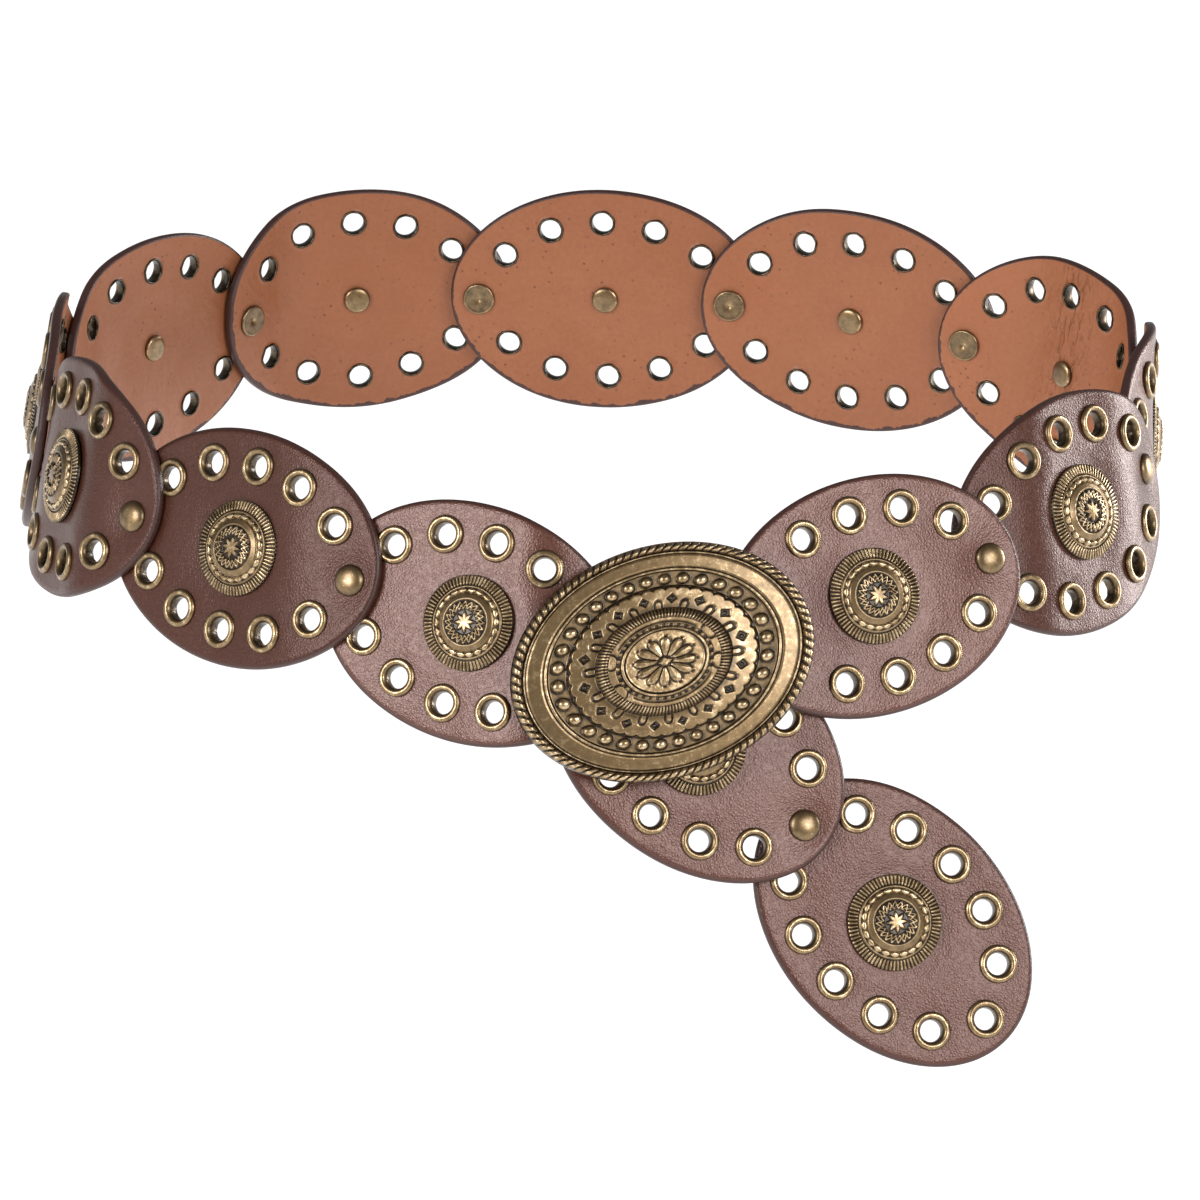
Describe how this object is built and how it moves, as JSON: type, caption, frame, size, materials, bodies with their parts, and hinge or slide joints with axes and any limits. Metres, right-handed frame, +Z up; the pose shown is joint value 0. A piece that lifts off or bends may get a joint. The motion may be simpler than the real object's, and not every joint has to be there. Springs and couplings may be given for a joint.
{
  "type": "disc waist belt",
  "caption": "Wide leather waist belt of oval eyeleted discs riveted in a chain, with round brass conchos, a large oval cast buckle and a free hanging tail.",
  "frame": {"origin": "the middle of the waist that the belt goes round, level with the middle of the loop of discs", "axes": "+Z up, -Y to the front where the buckle is, +X to the side where the tail hangs"},
  "size_m": [0.3293, 0.3072, 0.1674],
  "materials": {
    "leather": "brown belt leather with a mauve sheen outside, raw tan inside and a dark dyed edge",
    "brass": "antique brass, dark in the hollows and rubbed pale on the high relief"
  },
  "bodies": {
    "root": {"disc_01": "leather", "disc_02": "leather", "disc_03": "leather", "disc_04": "leather", "disc_05": "leather", "disc_06": "leather", "disc_07": "leather", "disc_08": "leather", "disc_09": "leather", "disc_10": "leather", "disc_11": "leather", "disc_12": "leather", "disc_13": "leather", "disc_14": "leather", "concho_01": "brass", "concho_02": "brass", "concho_03": "brass", "concho_04": "brass", "concho_05": "brass", "concho_06": "brass", "concho_07": "brass", "concho_08": "brass", "concho_09": "brass", "concho_10": "brass", "concho_11": "brass", "concho_12": "brass", "concho_13": "brass", "concho_14": "brass", "rivet_01": "brass", "rivet_02": "brass", "rivet_03": "brass", "rivet_04": "brass", "rivet_05": "brass", "rivet_06": "brass", "rivet_07": "brass", "rivet_08": "brass", "rivet_09": "brass", "rivet_10": "brass", "rivet_11": "brass", "rivet_12": "brass", "rivet_13": "brass", "buckle": "brass"}
  },
  "joints": []
}
